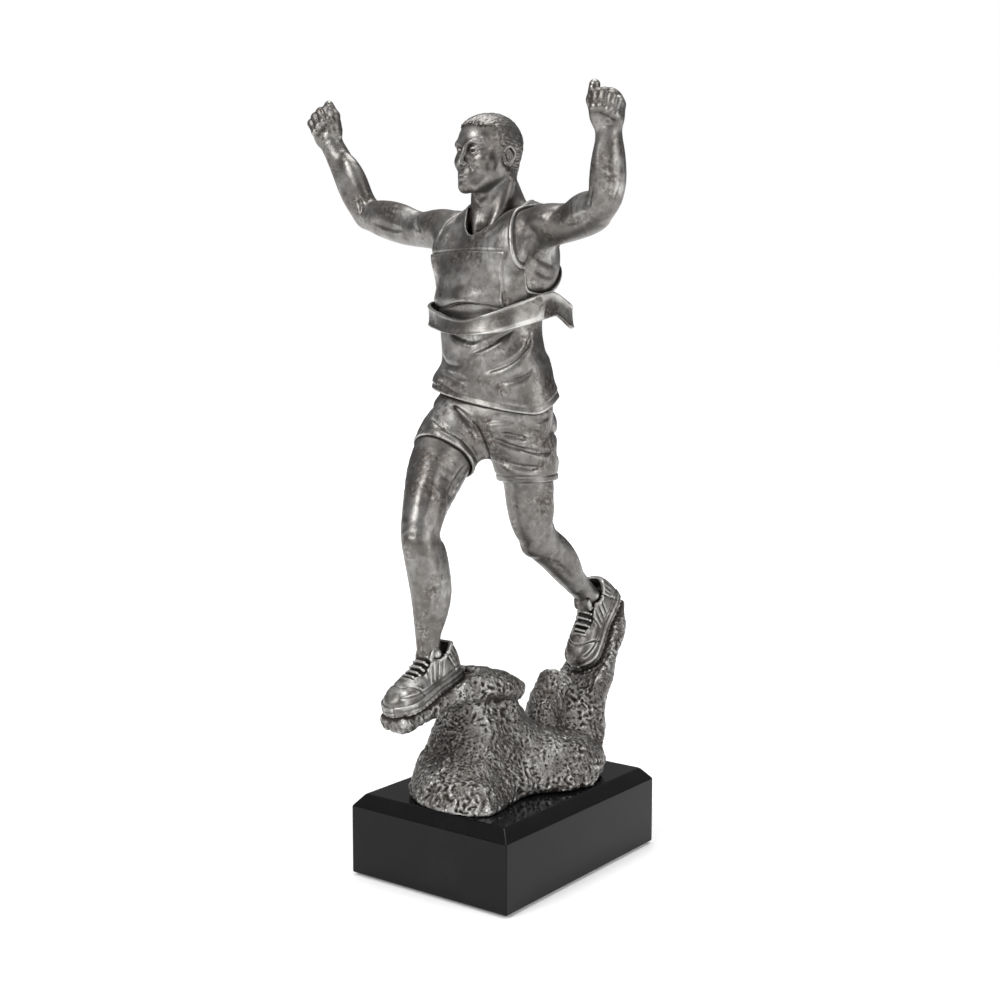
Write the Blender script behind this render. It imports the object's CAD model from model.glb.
"""Looks of the figure trophy: a runner in antique silver on a rough rock and a black stone plinth.

The figure is sculpted as distance fields in millimetres, in the row frame, and meshed piece by piece.
The runner faces -Y, its left is +X, and +Z is up.
"""

import math
from concurrent.futures import ThreadPoolExecutor

import bmesh
import bpy
import numpy as np
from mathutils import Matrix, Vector

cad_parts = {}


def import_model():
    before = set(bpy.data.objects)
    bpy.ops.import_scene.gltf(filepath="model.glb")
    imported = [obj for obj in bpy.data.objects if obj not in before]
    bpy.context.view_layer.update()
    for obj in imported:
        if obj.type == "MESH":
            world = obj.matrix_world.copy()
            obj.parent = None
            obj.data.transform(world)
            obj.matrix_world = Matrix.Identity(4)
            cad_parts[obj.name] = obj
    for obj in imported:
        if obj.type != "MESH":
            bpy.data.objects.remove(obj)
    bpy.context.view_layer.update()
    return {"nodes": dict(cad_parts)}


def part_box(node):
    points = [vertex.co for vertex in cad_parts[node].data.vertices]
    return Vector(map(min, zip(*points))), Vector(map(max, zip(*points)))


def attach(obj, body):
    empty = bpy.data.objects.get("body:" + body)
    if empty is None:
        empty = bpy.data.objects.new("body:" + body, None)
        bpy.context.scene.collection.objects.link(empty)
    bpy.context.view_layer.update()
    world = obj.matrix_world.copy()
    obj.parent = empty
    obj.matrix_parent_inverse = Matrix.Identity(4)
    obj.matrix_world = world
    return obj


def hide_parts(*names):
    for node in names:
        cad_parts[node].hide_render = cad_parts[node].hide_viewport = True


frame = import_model()

MM = 0.001
REAL = np.float32
# mesh steps in millimetres, and how many points are sampled at once
BODY_STEP = 0.45
FINE_STEP = 0.3
SHOE_STEP = 0.38
ROCK_STEP = 0.55
CHUNK = 24576
POOL = ThreadPoolExecutor(4)


# ---------------------------------------------------------------- distance fields

def unit(v):
    v = np.asarray(v, float)
    return v / np.linalg.norm(v)


def smin(a, b, k):
    h = np.maximum(k - np.abs(a - b), 0.0) / k
    return np.minimum(a, b) - h * h * (0.25 * k)


def smax(a, b, k):
    return -smin(-a, -b, k)


def cone(P, a, b):
    """Distance to a round cone between two stations (x, y, z, r)."""
    span = [b[i] - a[i] for i in range(3)]
    length2 = max(sum(s * s for s in span), 1e-6)
    x, y, z = P[0] - REAL(a[0]), P[1] - REAL(a[1]), P[2] - REAL(a[2])
    t = np.clip((x * REAL(span[0]) + y * REAL(span[1]) + z * REAL(span[2])) / REAL(length2), 0, 1)
    x -= t * REAL(span[0])
    y -= t * REAL(span[1])
    z -= t * REAL(span[2])
    return np.sqrt(x * x + y * y + z * z) - (REAL(a[3]) + t * REAL(b[3] - a[3]))


def flow(points, parts=4):
    """A smooth run of points through the given ones."""
    p = np.asarray(points, float)
    p = np.vstack([2 * p[0] - p[1], p, 2 * p[-1] - p[-2]])
    out = []
    for a, b, c, d in zip(p, p[1:], p[2:], p[3:]):
        for t in np.arange(parts) / parts:
            bend = (2 * a - 5 * b + 4 * c - d) * t * t + (3 * b - a - 3 * c + d) * t ** 3
            out.append(0.5 * (2 * b + (c - a) * t + bend))
    out.append(p[-2])
    return np.array(out)


def chain(P, stations, parts=3):
    run = flow(stations, parts)
    d = cone(P, run[0], run[1])
    for a, b in zip(run[1:], run[2:]):
        d = np.minimum(d, cone(P, a, b))
    return d


def ellipsoid(P, centre, radii, axes=None):
    """Distance to an ellipsoid. axes are its three unit directions."""
    q = [P[i] - REAL(centre[i]) for i in range(3)]
    if axes is not None:
        q = [q[0] * REAL(a[0]) + q[1] * REAL(a[1]) + q[2] * REAL(a[2]) for a in axes]
    s = [q[i] / REAL(radii[i]) for i in range(3)]
    k0 = np.sqrt(s[0] ** 2 + s[1] ** 2 + s[2] ** 2)
    w = [s[i] / REAL(radii[i]) for i in range(3)]
    k1 = np.sqrt(w[0] ** 2 + w[1] ** 2 + w[2] ** 2) + REAL(1e-6)
    return k0 * (k0 - 1) / k1


def muscle(P, a, b, width, thick, face):
    """An elongated belly from a to b, flat towards the direction face."""
    a, b = np.asarray(a, float), np.asarray(b, float)
    along = unit(b - a)
    out = unit(np.asarray(face, float) - np.dot(face, along) * along)
    side = np.cross(along, out)
    return ellipsoid(P, (a + b) / 2, (np.linalg.norm(b - a) / 2, width, thick), (along, side, out))


def add_on(P, d, parts):
    """Blends parts into d. A part is a shape, its sizes, and how softly it joins."""
    for shape, *sizes, soft in parts:
        d = smin(d, shape(P, *sizes), soft)
    return d


class Stack:
    """A trunk through level oval rings (x, y, z, half width, half depth, yaw)."""

    def __init__(self, rings):
        run = flow(rings, 8)
        self.run = run[np.argsort(run[:, 2])]

    def __call__(self, P):
        z = P[2]
        levels = self.run[:, 2]
        cx, cy, a, b, yaw = (np.interp(z, levels, self.run[:, i]).astype(REAL) for i in (0, 1, 3, 4, 5))
        c, s = np.cos(np.radians(yaw)), np.sin(np.radians(yaw))
        x, y = P[0] - cx, P[1] - cy
        u, v = x * c + y * s, -x * s + y * c
        k0 = np.sqrt((u / a) ** 2 + (v / b) ** 2)
        k1 = np.sqrt((u / a ** 2) ** 2 + (v / b ** 2) ** 2) + REAL(1e-6)
        d = k0 * (k0 - 1) / k1
        return smax(smax(d, z - REAL(self.run[-1, 2]), 2.0), REAL(self.run[0, 2]) - z, 2.0)


def along_line(P, run):
    """Distance to a line of points, and how far along it the nearest point is, from 0 to 1."""
    lengths = np.linalg.norm(np.diff(run[:, :3], axis=0), axis=1)
    total, gone = lengths.sum(), 0.0
    best = np.full(P.shape[1], 1e6, REAL)
    where = np.zeros(P.shape[1], REAL)
    for a, b, length in zip(run, run[1:], lengths):
        x, y, z = (P[i] - REAL(a[i]) for i in range(3))
        dx, dy, dz = (REAL(b[i] - a[i]) for i in range(3))
        t = np.clip((x * dx + y * dy + z * dz) / REAL(length ** 2 + 1e-9), 0, 1)
        d2 = (x - t * dx) ** 2 + (y - t * dy) ** 2 + (z - t * dz) ** 2
        near = d2 < best
        best = np.where(near, d2, best)
        where = np.where(near, (REAL(gone) + t * REAL(length)) / REAL(total), where)
        gone += length
    return np.sqrt(best), where


def sample(field, P):
    out = np.empty(P.shape[1], REAL)

    def part(i):
        out[i:i + CHUNK] = field(P[:, i:i + CHUNK])

    list(POOL.map(part, range(0, P.shape[1], CHUNK)))
    return out


def slope(field, P, reach=0.2):
    """Unit outward direction of a field at points, and the size of its gradient."""
    g = np.empty_like(P)
    for i in range(3):
        step = np.zeros((3, 1), REAL)
        step[i] = reach
        g[i] = sample(field, P + step) - sample(field, P - step)
    size = np.sqrt((g ** 2).sum(0)) + REAL(1e-9)
    return g / size, size / REAL(2 * reach)


def snap(field, points):
    """The points moved on to the field's surface."""
    P = np.asarray(points, REAL).T.copy()
    for _ in range(4):
        n, size = slope(field, P)
        P -= n * np.clip(sample(field, P) / size, -2, 2)
    return P.T


class Strokes:
    """Tool marks on a surface: grooves where depth is positive, ridges where it is negative."""

    def __init__(self, field, marks):
        self.marks = []
        for points, width, depth in marks:
            run = flow(snap(field, points), 3)
            self.marks.append((run, width, depth, run.min(0) - 3 * width, run.max(0) + 3 * width))

    def __call__(self, P):
        out = np.zeros(P.shape[1], REAL)
        for run, width, depth, lo, hi in self.marks:
            near = np.ones(P.shape[1], bool)
            for i in range(3):
                near &= (P[i] > lo[i]) & (P[i] < hi[i])
            if not near.any():
                continue
            d, t = along_line(P[:, near], run)
            fade = np.clip(np.minimum(t, 1 - t) / 0.3, 0, 1)
            fade = fade * fade * (3 - 2 * fade)
            narrow = REAL(width) * (0.5 + 0.5 * fade)
            out[near] += REAL(depth) * fade * np.exp(-((d / narrow) ** 2))
        return out


def fold(points, depth=0.9, width=0.8, lift=0.6, drop=(0, 0, -2.6)):
    """A cloth fold: a groove with a soft roll beside it."""
    beside = [tuple(np.add(p, drop)) for p in points]
    return [(points, width * 1.15, depth), (beside, 2.6, -1.25 * lift)]


# ---------------------------------------------------------------- noise

def lattice(i, j, k, seed):
    """A repeatable random number in 0 to 1 for each whole-number cell."""
    h = (i * np.uint32(374761393)) ^ (j * np.uint32(668265263)) ^ (k * np.uint32(2147483647))
    h = h ^ np.uint32(seed * 7919)
    h = (h ^ (h >> np.uint32(13))) * np.uint32(1274126177)
    h = (h ^ (h >> np.uint32(16))) * np.uint32(2246822519)
    return ((h ^ (h >> np.uint32(15))) & np.uint32(0xFFFF)).astype(REAL) / REAL(65535)


def smooth_noise(P, size, seed):
    """Smooth noise from -1 to 1 with features of the given size."""
    q = P / REAL(size)
    base = np.floor(q)
    f = q - base
    f = f * f * (3 - 2 * f)
    i, j, k = (base.astype(np.int32) + 4096).astype(np.uint32)
    out = np.zeros(P.shape[1], REAL)
    for a, b, c in np.ndindex(2, 2, 2):
        w = (f[0] if a else 1 - f[0]) * (f[1] if b else 1 - f[1]) * (f[2] if c else 1 - f[2])
        out += w * lattice(i + np.uint32(a), j + np.uint32(b), k + np.uint32(c), seed)
    return out * 2 - 1


def rough_noise(P, size, seed, layers=3):
    return sum(smooth_noise(P, size / 2 ** n, seed + n) / 2 ** n for n in range(layers))


def cells(P, size, seed):
    """Distance to the nearest of scattered points, in units of their spacing."""
    q = P / REAL(size)
    base = np.floor(q).astype(np.int32)
    best = np.full(P.shape[1], 9.0, REAL)
    for a, b, c in np.ndindex(3, 3, 3):
        cell = base + np.array([[a - 1], [b - 1], [c - 1]], np.int32)
        i, j, k = (cell + 4096).astype(np.uint32)
        d = np.zeros(P.shape[1], REAL)
        for axis in range(3):
            spot = cell[axis] + 0.15 + 0.7 * lattice(i, j, k, seed + axis)
            d += (q[axis] - spot) ** 2
        best = np.minimum(best, d)
    return np.sqrt(best)


# ---------------------------------------------------------------- meshing

def net(field, lo, hi, step):
    """A quad mesh of the field's zero surface, found coarsely first and then finely."""
    lo = np.asarray(lo, float)
    blocks = np.ceil((np.asarray(hi, float) - lo) / (4 * step)).astype(int)
    axes = [lo[i] + 4 * step * np.arange(blocks[i] + 1) for i in range(3)]
    coarse = np.stack(np.meshgrid(*axes, indexing="ij")).reshape(3, -1).astype(REAL)
    rough = sample(field, coarse).reshape(blocks + 1)
    wide, deep, tall = blocks
    corners = np.stack([rough[a:a + wide, b:b + deep, c:c + tall] for a, b, c in np.ndindex(2, 2, 2)])
    near = (np.abs(corners).min(0) < 5.5 * step) | ((corners.min(0) < 0) & (corners.max(0) > 0))
    size = blocks * 4 + 1
    grid = np.full(size, 50.0, REAL)
    for a, b, c in np.ndindex(4, 4, 4):
        grid[a:-1:4, b:-1:4, c:-1:4] = np.where(corners.mean(0) < 0, -50.0, 50.0)
    mask = np.zeros(size, bool)
    for a, b, c in np.ndindex(5, 5, 5):
        part = mask[a:a + 4 * wide - 3:4, b:b + 4 * deep - 3:4, c:c + 4 * tall - 3:4]
        part |= near
    spots = np.nonzero(mask)
    P = np.stack([lo[i] + step * spots[i] for i in range(3)]).astype(REAL)
    grid[spots] = sample(field, P)
    inside = grid < 0
    mixed = np.zeros(size - 1, np.int8)
    for a, b, c in np.ndindex(2, 2, 2):
        mixed += inside[a:size[0] - 1 + a, b:size[1] - 1 + b, c:size[2] - 1 + c]
    spots = np.nonzero((mixed > 0) & (mixed < 8))
    total = np.zeros((3, len(spots[0])))
    count = np.zeros(len(spots[0]))
    for axis in range(3):
        for b, c in ((0, 0), (0, 1), (1, 0), (1, 1)):
            start = [0, 0, 0]
            start[(axis + 1) % 3], start[(axis + 2) % 3] = b, c
            end = list(start)
            end[axis] = 1
            va = grid[tuple(spots[i] + start[i] for i in range(3))]
            vb = grid[tuple(spots[i] + end[i] for i in range(3))]
            cross = (va < 0) != (vb < 0)
            t = np.where(cross, va / np.where(cross, va - vb, 1), 0)
            for i in range(3):
                total[i] += np.where(cross, start[i] + (t if i == axis else 0), 0)
            count += cross
    P = np.stack([lo[i] + step * (spots[i] + total[i] / count) for i in range(3)]).astype(REAL)
    index = np.full(size - 1, -1, np.int64)
    index[spots] = np.arange(len(count))
    quads = []
    for axis in range(3):
        order = (axis, (axis + 1) % 3, (axis + 2) % 3)
        s, n = inside.transpose(order), index.transpose(order)
        i, j, k = np.nonzero(s[:-1, 1:-1, 1:-1] != s[1:, 1:-1, 1:-1])
        j, k = j + 1, k + 1
        quad = np.stack([n[i, j - 1, k - 1], n[i, j, k - 1], n[i, j, k], n[i, j - 1, k]], 1)
        flip = s[i + 1, j, k]
        quad[flip] = quad[flip][:, ::-1]
        quads.append(quad)
    quads = np.vstack(quads)
    return P, quads[(quads >= 0).all(1)]


def relaxed(P, quads, share=0.5):
    """Each point moved part of the way to the middle of its neighbours."""
    total = np.zeros((3, P.shape[1]))
    count = np.zeros(P.shape[1])
    for a, b in ((0, 1), (1, 2), (2, 3), (3, 0)):
        for u, v in ((quads[:, a], quads[:, b]), (quads[:, b], quads[:, a])):
            for i in range(3):
                total[i] += np.bincount(u, P[i][v], P.shape[1])
            count += np.bincount(u, minlength=P.shape[1])
    return (P + share * (total / np.maximum(count, 1) - P)).astype(REAL)


def mark(mesh, key, values):
    mesh.attributes.new(key, "FLOAT", "POINT").data.foreach_set("value", values.astype(REAL))


def points_and_normals(mesh):
    """The places of a mesh's points, in millimetres, and their normals."""
    co = np.empty(len(mesh.vertices) * 3, REAL)
    normal = np.empty_like(co)
    mesh.vertices.foreach_get("co", co)
    mesh.vertex_normals.foreach_get("vector", normal)
    return co.reshape(-1, 3).T / REAL(MM), normal.reshape(-1, 3).T.copy()


def make_mesh(name, P, faces, marks=None):
    """A Blender object from points in millimetres and faces of equal size."""
    mesh = bpy.data.meshes.new(name)
    per = faces.shape[1]
    mesh.vertices.add(P.shape[1])
    mesh.vertices.foreach_set("co", (P.T * MM).astype(REAL).ravel())
    mesh.loops.add(faces.size)
    mesh.loops.foreach_set("vertex_index", faces.astype(np.int32).ravel())
    mesh.polygons.add(len(faces))
    mesh.polygons.foreach_set("loop_start", np.arange(0, faces.size, per, dtype=np.int32))
    mesh.update(calc_edges=True)
    mesh.polygons.foreach_set("use_smooth", np.full(len(faces), True))
    for key, values in (marks or {}).items():
        mark(mesh, key, values)
    mesh.validate()
    obj = bpy.data.objects.new(name, mesh)
    bpy.context.collection.objects.link(obj)
    return obj


PIECES = []
CLOTH_SHINE, FACE_SHINE = 0.55, 0.6


def world(P):
    """Distance to the nearest figure piece."""
    out = np.full(P.shape[1], 20.0, REAL)
    for piece in PIECES:
        near = np.ones(P.shape[1], bool)
        for i in range(3):
            near &= (P[i] > piece["lo"][i] - 2) & (P[i] < piece["hi"][i] + 2)
        if near.any():
            out[near] = np.minimum(out[near], piece["field"](P[:, near]))
    return out


def plan(name, field, lo, hi, step=BODY_STEP, shine=1.0):
    """Notes a piece to be carved: its field, its box, its mesh step and how bright its ridges are rubbed."""
    PIECES.append({"name": name, "field": field, "lo": lo, "hi": hi, "step": step, "shine": shine})


def crests(P, quads, n, rounds=(2, 8)):
    """How far each point stands out from its smoothed surroundings, from 0 to 1."""
    soft, out = P, np.zeros(P.shape[1])
    for step in range(max(rounds)):
        soft = relaxed(soft, quads, 0.8)
        if step + 1 in rounds:
            out += ((P - soft) * n).sum(0) * (7 if step + 1 == rounds[0] else 2.5)
    return np.clip(out - 0.12, 0, 1)


def carve(piece):
    """Meshes a planned piece and measures its hollows and ridges."""
    field = piece["field"]
    P, quads = net(field, piece["lo"], piece["hi"], piece["step"])
    for _ in range(2):
        P = relaxed(P, quads)
        n, size = slope(field, P, 0.15)
        P -= n * np.clip(sample(field, P) / size, -piece["step"], piece["step"])
    n, _ = slope(field, P, 0.3)
    hollow = np.zeros(P.shape[1], REAL)
    for reach, share in ((0.8, 0.4), (2.0, 0.35), (4.5, 0.25)):
        hollow += share * np.clip(1 - sample(world, P + n * REAL(reach)) / reach, 0, 1)
    marks = {"hollow": hollow, "ridge": crests(P, quads, n) * piece["shine"]}
    return make_mesh(piece["name"], P, quads, marks)


def zoned(field, past, lap=1.2):
    """The part of a shared surface that one piece owns: past is the distance beyond its border."""

    def owned(P):
        d = past(P)
        return np.maximum(field(P) + REAL(0.05) * np.clip(d / 0.4, 0, 1), d - lap)

    return owned


def beyond(P, point, normal):
    n = unit(normal)
    return sum((P[i] - REAL(point[i])) * REAL(n[i]) for i in range(3))


# ---------------------------------------------------------------- trunk and arms

TRUNK = Stack([
    (-2.8, -2.6, 172, 23.4, 15.0, 6), (-2.8, -2.6, 183, 23.8, 15.6, 5), (-3, -3, 190, 23.2, 15.2, 3),
    (-3.6, -3.2, 198, 21.5, 14.4, 0), (-4.9, -3.6, 207, 20.8, 14.0, -2), (-5.3, -3.2, 216, 21.8, 14.6, -5),
    (-4.9, -1.8, 228, 24.2, 16.6, -8), (-3.4, -0.2, 238, 22.9, 16.8, -9), (-4.0, 0, 245, 22.4, 14.2, -9),
    (-5.4, 0.2, 250.5, 18, 11, -9), (-5.6, 0.2, 255, 10, 9, -9),
])
# the neck and the two cords that run from the collar bones to behind the ears
NECK = [(-5.4, 0.2, 246, 9.0), (-5.2, -0.8, 254, 8.1), (-5.0, -2.2, 262, 8.0), (-4.7, -3.6, 271, 8.2)]
NECK_CORDS = [
    [(-0.6, -11.6, 243.5, 1.3), (1.6, -6.05, 253.75, 1.9), (3.4, -2.5, 264, 1.8)],
    [(-6.2, -11.4, 243.5, 1.3), (-9.9, -5.0, 253.75, 1.9), (-13.2, -0.6, 264, 1.8)],
]
LEFT_ARM = [
    (12, -3.5, 244.5, 8.4), (19, -5.5, 245.6, 8.0), (28.5, -8.5, 246.6, 7.1), (40, -12.5, 248, 6.3),
    (49.5, -16.5, 249.4, 5.9), (55.6, -19.2, 252.4, 5.6), (58.6, -20.6, 259.5, 5.8), (59.6, -21.6, 268, 5.0),
    (59.6, -22.4, 277.5, 4.3),
]
RIGHT_ARM = [
    (-24, 2.5, 244.5, 8.4), (-33, 3.5, 246.6, 7.6), (-43, 5, 248.2, 6.9), (-56, 7, 249.8, 6.6),
    (-68, 8.7, 252.6, 6.2), (-78, 9.5, 256.2, 6.0), (-85.2, 9.2, 264.5, 6.1), (-90.8, 7.7, 276, 5.4),
    (-95.8, 6, 286, 4.5),
]
UP, DOWN = (0, 0, 1), (0, 0, -1)
LEFT_ARM_MUSCLES = [
    (muscle, (15, -5, 248.6), (36, -14.5, 248.0), 7.2, 5.8, UP, 2.5),
    (muscle, (36, -12.6, 250.6), (57, -20.5, 253.6), 4.6, 4.9, UP, 1.8),
    (muscle, (22, -7, 243), (55, -16.5, 246.6), 5.2, 3.8, DOWN, 2.5),
    (muscle, (54.5, -19, 251), (58.6, -24.0, 273), 3.9, 4.0, (-0.4, -1, 0), 2.5),
    (muscle, (59.0, -17, 252), (61.4, -20, 273), 3.8, 3.0, (1, 0.5, 0), 2.5),
]
RIGHT_ARM_MUSCLES = [
    (muscle, (-22, 2, 249.4), (-47, 5, 249.6), 7.2, 6.2, UP, 2.5),
    (muscle, (-46, 4, 252.4), (-80, 8.5, 258.4), 4.8, 5.0, UP, 1.8),
    (muscle, (-34, 5, 243.6), (-76, 10.5, 250.6), 5.0, 3.8, DOWN, 2.5),
    (muscle, (-76.5, 7.6, 257), (-87.6, 5.0, 281), 4.6, 4.4, (0.4, -1, 0), 2.5),
    (muscle, (-83, 12, 255), (-92, 9.5, 278), 4.2, 3.4, (-1, 0.5, 0), 2.0),
    (ellipsoid, (-80.5, 10.6, 254.4), (3.4, 3.4, 3.4), 4.0),
]
CHEST = (-4.5, 0.0)
CHEST_SIDE = unit((0.988, -0.156, 0))
CHEST_BACK = unit((0.156, 0.988, 0))


def chest_axes(P):
    """How far points are to the chest's left and behind its middle."""
    x, y = P[0] - CHEST[0], P[1] - CHEST[1]
    return x * CHEST_SIDE[0] + y * CHEST_SIDE[1], x * CHEST_BACK[0] + y * CHEST_BACK[1]


def neckline(P):
    """Inside the round opening of the singlet."""
    x, y = np.abs(P[0] + 1.2) / 11.2, np.abs(P[1] + 3.0) / 13.2
    return ((x ** 2.4 + y ** 2.4) ** (1 / 2.4) - 1) * 11.5


def armhole(P, side):
    u, v = chest_axes(P)
    hole = (np.sqrt(((v + 1.0) / 15.5) ** 2 + ((np.minimum(P[2], 241) - 238) / 15.8) ** 2) - 1) * 13
    strap = (22.0 if side > 0 else 15.4) + 0.19 * (248 - P[2])
    # below the shoulder the strap's edge only counts at the front, so the armpit stays open
    strap = strap - 8 * np.clip((v + 10) / 6, 0, 1) * np.clip((243 - P[2]) / 6, 0, 1)
    return smax(hole, strap - side * u, 2.0)


def neck(P):
    d = chain(P, NECK)
    for cord in NECK_CORDS:
        d = smin(d, chain(P, cord), 4.0)
    d = smin(d, ellipsoid(P, (-4.6, -9.6, 260.5), (2.4, 2.2, 3.2)), 2.5)
    for side in (1, -1):
        ear, nape = (-5 + 3.5 * side, 4.2, 262, 3.4), (-5 + 9 * side, 4.2, 252.5, 3.8)
        d = smin(d, chain(P, [ear, nape, (-5 + 19 * side, 2, 250.2, 3.0)]), 4.0)
    return d


def arms(P):
    left = add_on(P, chain(P, LEFT_ARM), LEFT_ARM_MUSCLES)
    right = add_on(P, chain(P, RIGHT_ARM), RIGHT_ARM_MUSCLES)
    return np.minimum(left, right)


def chest_muscles(P, d):
    """Adds the pectorals and the fronts of the shoulders."""
    for side, reach in ((1, 12), (-1, 9)):
        out = 14 if side > 0 else 13
        centre = [CHEST[i] + out * side * CHEST_SIDE[i] - 11 * CHEST_BACK[i] for i in (0, 1)]
        d = smin(d, ellipsoid(P, (*centre, 237.6), (reach, 5.6, 9.5), (CHEST_SIDE, CHEST_BACK, UP)), 3.0)
        centre = [CHEST[i] + 19 * side * CHEST_SIDE[i] - 8.5 * CHEST_BACK[i] for i in (0, 1)]
        d = smin(d, ellipsoid(P, (*centre, 244.5), (6.5, 4.6, 6.6), (CHEST_SIDE, CHEST_BACK, UP)), 3.5)
    return d


def body(P):
    """The bare upper body."""
    trunk = TRUNK(P)
    collar_bowl = smax(neckline(P) + 0.3, (243.4 - 0.25 * (P[1] + 15)) - P[2], 2.0)
    trunk = smax(trunk, -collar_bowl, 1.5)
    for side in (1, -1):
        centre = [CHEST[i] + 19.8 * side * CHEST_SIDE[i] + 4 * CHEST_BACK[i] for i in (0, 1)]
        lat = ellipsoid(P, (*centre, 235), (4.4, 8.5, 13), (CHEST_SIDE, CHEST_BACK, UP))
        trunk = smin(trunk, lat, 4.0)
    trunk = chest_muscles(P, trunk)
    return smin(smin(trunk, neck(P), 1.4), arms(P), 4.5)


BODY_MARKS = Strokes(body, [
    # between deltoid and biceps, and along the biceps
    ([(35, -13, 256), (33.5, -17.5, 252), (29.5, -17.5, 247)], 1.6, 0.5),
    ([(39, -19, 246), (46, -21.5, 246.6), (53, -23.5, 249)], 1.3, 0.8),
    ([(56, -25, 258), (53.6, -25, 254.5), (53.5, -24.5, 250.5)], 0.9, 0.8),
    ([(53, -15, 259), (55, -20, 258.6), (56, -25, 258)], 0.9, 0.8),
    ([(60, -27, 256), (60.5, -27.5, 265), (60, -27, 273)], 1.6, 0.45),
    ([(-45, -1.5, 255.5), (-43.5, -3.5, 251), (-40, -3.5, 246)], 1.1, 0.8),
    ([(-50, -2, 247.5), (-60, -0.5, 249), (-72, 1.5, 252)], 1.3, 0.7),
    ([(-79, 3, 263.5), (-77, 2.5, 259), (-77.5, 3, 255)], 0.9, 0.7),
    ([(-85, 3, 262), (-88, 1.5, 271), (-92, 0.5, 280)], 1.6, 0.45),
    # shoulder blade and spine
    ([(-6, 17, 250), (-6.5, 17.5, 236), (-6, 16.5, 216)], 2.2, 0.8),
    # ribs on the bare flank
    ([(19.5, -10, 236), (23, -4, 233), (24, 2, 232)], 1.2, 0.45),
    ([(19, -9, 231), (22, -3, 228.5), (23, 3, 228)], 1.2, 0.45),
    # neck pit and collar bones
    ([(-3.6, -12.5, 249), (-3.4, -13.5, 246), (-3.2, -14, 244)], 1.3, 1.0),
    ([(1.5, -13, 246.5), (5.5, -11.5, 248), (9, -8.5, 250)], 0.9, -0.5),
    ([(-8, -13, 246.5), (-11.5, -10.5, 248.5), (-14, -7.5, 251)], 0.9, -0.5),
])


def skin(P):
    return body(P) + BODY_MARKS(P)


# ---------------------------------------------------------------- fists

def hand_axes(wrist, along, palm):
    up = unit(along)
    front = unit(np.asarray(palm, float) - np.dot(palm, up) * up)
    return np.asarray(wrist, float), up, front


FIST_SCALE = 0.88
# where a wrist is, which way it and the palm point, and the side of its thumb
FISTS = {
    "left": (*hand_axes((59.8, -22.4, 277.5), (0.0, -0.06, 1.0), (0.42, -0.9, 0.0)), 1),
    "right": (*hand_axes((-95.8, 6, 286), (-0.30, -0.12, 0.95), (0.30, -0.95, 0.0)), -1),
}
# width, how far the knuckles are lowered, and the height and half length of the back of the hand
FIST_FORM = {"left": (0.86, 1.7, 7.6, 6.6), "right": (1.0, 0.0, 8.6, 7.4)}


def bent(P, joints):
    """A bent finger: round cones from joint to joint."""
    d = cone(P, joints[0], joints[1])
    for a, b in zip(joints[1:], joints[2:]):
        d = smin(d, cone(P, a, b), 0.9)
    return d


def fist(P, side):
    """A closed hand, palm to the front, with the thumb lying up along the first finger."""
    wrist, up, front, thumb_side = FISTS[side]
    wide, drop, back_height, back_half = FIST_FORM[side]
    across = np.cross(up, front) * -thumb_side
    axes = (across, front, up)

    def spot(a, f, h, r=0.0):
        return (*(wrist + (across * a * wide + front * f + up * h) * FIST_SCALE), r * FIST_SCALE)

    d = cone(P, spot(0, 0, -3, 4.6), spot(0, 0.2, 2.5, 4.9))
    d = smin(d, ellipsoid(P, spot(0, -0.9, back_height), (6.7 * wide, 3.7, back_half), axes), 2.5)
    fingers = None
    for a, h, r in ((4.3, 0.6, 2.15), (1.1, 0.6, 2.25), (-2.1, -0.6, 2.2), (-5.0, -2.4, 1.95)):
        h -= drop
        finger = bent(P, [
            spot(a, -1.4, 12.4 + h, r + 0.4), spot(a * 0.98, 3.0, 13.4 + h, r + 0.2),
            spot(a * 0.92 + 1, 5.2, 8.4 + h, r), spot(a * 0.85 + 1, 2.4, 5.6 + h, r - 0.2),
        ])
        fingers = finger if fingers is None else smin(fingers, finger, 0.45)
    d = smin(d, fingers, 0.6)
    d = smin(d, ellipsoid(P, spot(4.6, 1.6, 4.6), (2.6, 3.2, 4.9), axes), 1.4)
    d = smin(d, ellipsoid(P, spot(-3.9, 1.4, 3.6), (2.5, 2.9, 4.4), axes), 1.4)
    thumb = bent(P, [spot(5.0, 1.4, 4.4, 2.8), spot(6.6, 2.0, 10.4, 2.5), spot(5.6, 1.9, 16.0, 2.2)])
    return smin(d, thumb, 0.8)


def fist_tools(side):
    wrist, up, front, thumb_side = FISTS[side]
    across = np.cross(up, front) * -thumb_side

    def at(a, f, h):
        return tuple(wrist + (across * a + front * f + up * h) * FIST_SCALE)

    marks = [([at(a, -4.2, 15), at(a, -4.5, 12), at(a, -4.4, 9)], 0.6, 0.35) for a in (3.1, 0, -3.0)]
    marks += [([at(5.9, 4.4, 16.2), at(6.3, 4.6, 14.8), at(6.7, 4.6, 13.4)], 0.8, -0.25)]
    marks += [([at(-3.5, 4.6, 0.6), at(0, 4.9, 0.2), at(3.5, 4.6, 0.8)], 0.6, 0.3)]
    return Strokes(lambda P: fist(P, side), marks)


FIST_MARKS = {side: fist_tools(side) for side in FISTS}


def limbs(P):
    """The bare upper body with its hands."""
    d = skin(P)
    for side, (wrist, *_) in FISTS.items():
        near = sum((P[i] - REAL(wrist[i])) ** 2 for i in range(3)) < 30 ** 2
        if near.any():
            Q = P[:, near]
            d[near] = smin(d[near], fist(Q, side) + FIST_MARKS[side](Q), 1.2)
    return d


# ---------------------------------------------------------------- singlet

CLOTH = 1.0


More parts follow.
